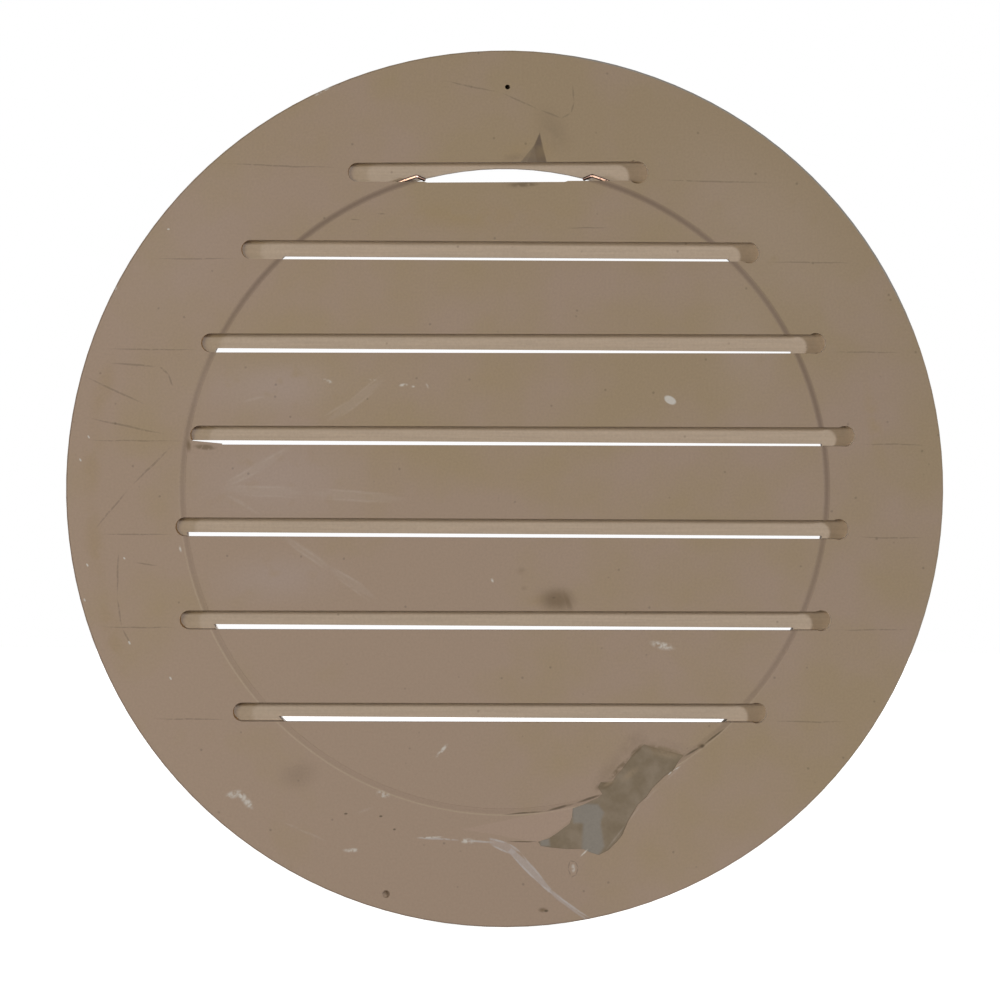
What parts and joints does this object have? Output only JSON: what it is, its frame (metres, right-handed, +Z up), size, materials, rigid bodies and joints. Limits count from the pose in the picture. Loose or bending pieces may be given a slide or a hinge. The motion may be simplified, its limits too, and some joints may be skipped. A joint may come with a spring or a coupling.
{
  "type": "gable vent",
  "caption": "Round cast gable vent with a flat frame ring, sloping louvre slats on its front and long routed air slots with round ends across its flat back.",
  "frame": {"origin": "centre of the flat back face", "axes": "+Z up, -Y out of the flat back face, +Y towards the louvred front, +X to the right seen from the back"},
  "size_m": [0.6099, 0.041, 0.61],
  "materials": {
    "cast_polyurethane": "unpainted tan casting, dull and mottled, lighter where the slots were routed",
    "copper_wire": "drawn copper-coloured wire, slightly tarnished"
  },
  "bodies": {
    "root": {"vent_body": "cast_polyurethane", "left_wire": "copper_wire", "right_wire": "copper_wire"}
  },
  "joints": []
}
